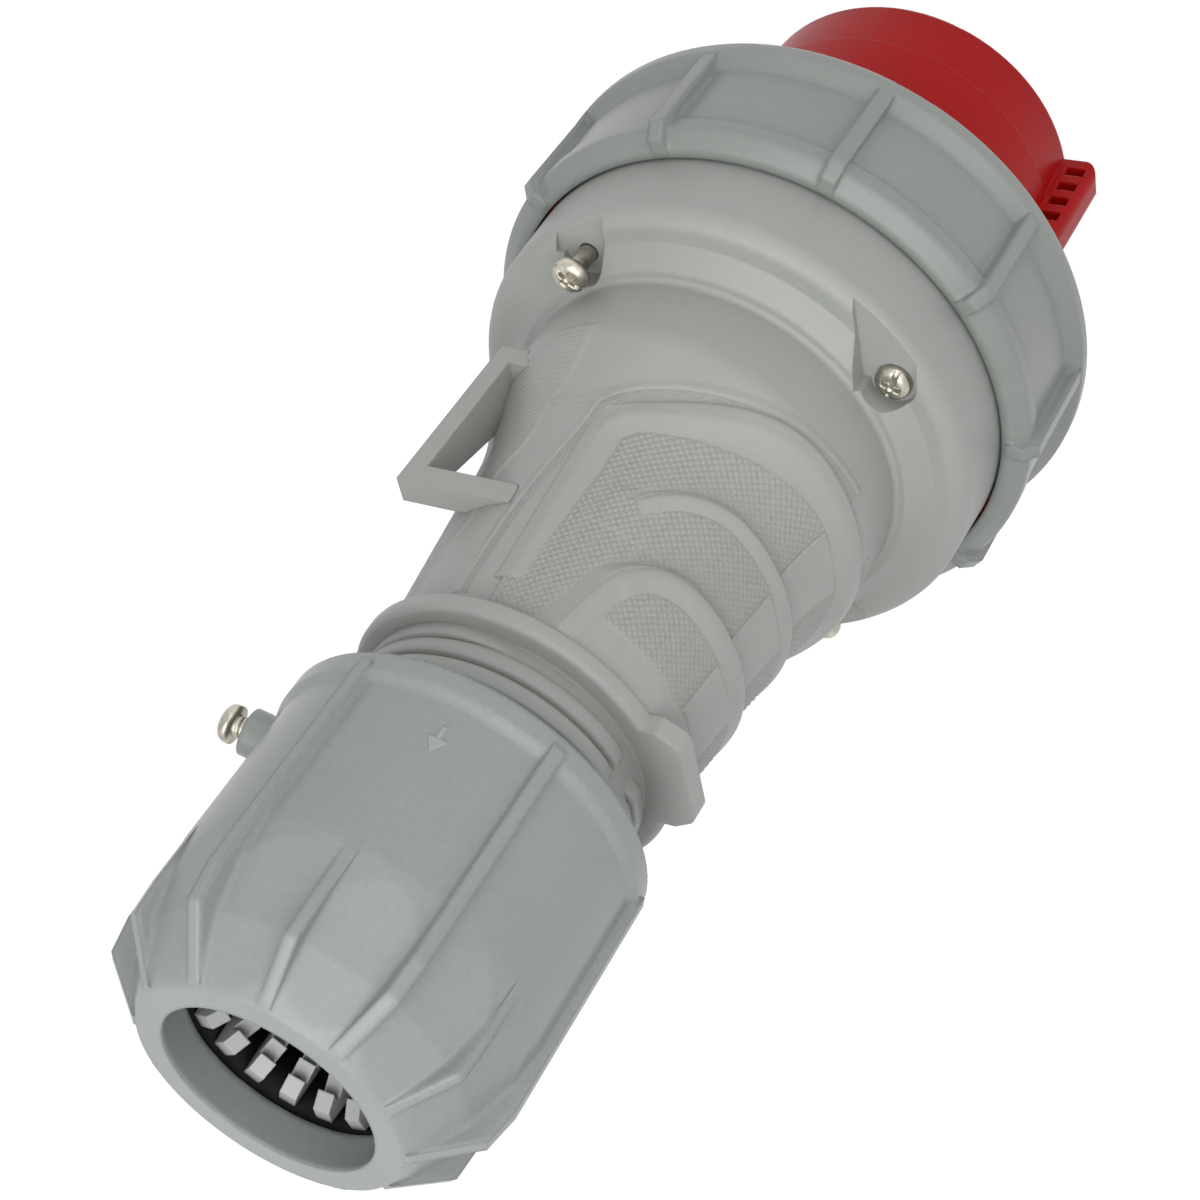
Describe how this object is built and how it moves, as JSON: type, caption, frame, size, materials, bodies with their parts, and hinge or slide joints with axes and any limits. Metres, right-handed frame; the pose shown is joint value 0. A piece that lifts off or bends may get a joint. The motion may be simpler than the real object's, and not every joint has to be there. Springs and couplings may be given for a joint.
{
  "type": "industrial power plug",
  "caption": "Straight industrial power plug with red keyed nose, ribbed bayonet ring, grey handle with shingled finger grip and a ribbed cable gland nut.",
  "frame": {"origin": "Centre of the nose face on the plug's axis; the plug stands on its nose.", "axes": "+Z runs along the axis from the nose to the cable gland; the key of the nose, the tab and the finger grip face -Y; the loop is on the +X +Y side."},
  "size_m": [0.1162, 0.1162, 0.2575],
  "materials": {
    "housing_grey": "fine matte moulding grain",
    "ring_grey": "satin",
    "gland_grey": "satin",
    "nose_red": "satin",
    "cage_grey": "satin",
    "insert_black": "matte",
    "seal_rubber": "matte",
    "zinc_steel": "yellowed zinc plating",
    "terminal_steel": "zinc plating",
    "contact_brass": "nickel plated"
  },
  "bodies": {
    "housing": {"rear_housing": "housing_grey", "housing_loop": "housing_grey", "contact_carrier": "nose_red", "gland_seal": "seal_rubber", "gland_washer": "cage_grey", "housing_screws": "zinc_steel", "terminal_screws": "terminal_steel", "pin_retainer": "insert_black", "retainer_screws": "terminal_steel", "face_gasket": "seal_rubber", "housing_gasket": "seal_rubber", "pin_earth": "contact_brass", "pin_l1": "contact_brass", "pin_l2": "contact_brass", "pin_l3": "contact_brass", "pin_neutral": "contact_brass", "pin_pilot": "contact_brass"},
    "ring": {"coupling_ring": "ring_grey"},
    "clamp": {"clamping_cage": "cage_grey"},
    "nut": {"gland_nut": "gland_grey", "nut_lock_screw": "zinc_steel"}
  },
  "joints": [
    {"name": "ring_turn", "type": "hinge", "parent": "housing", "child": "ring", "pos_m": [0, 0, 0.0668], "axis": [0, 0, 1], "range_deg": [0, 60]},
    {"name": "gland_travel", "type": "slide", "parent": "housing", "child": "clamp", "axis": [0, 0, -1], "range_m": [-0.0161, 0.0141]},
    {"name": "gland_turn", "type": "hinge", "parent": "clamp", "child": "nut", "pos_m": [0, 0, 0.22], "axis": [0, 0, -1], "range_deg": [-1440, 1260]}
  ],
  "couplings": [
    {"joint": "gland_travel", "follows": "gland_turn", "m_per_rad": 0.00063662}
  ]
}
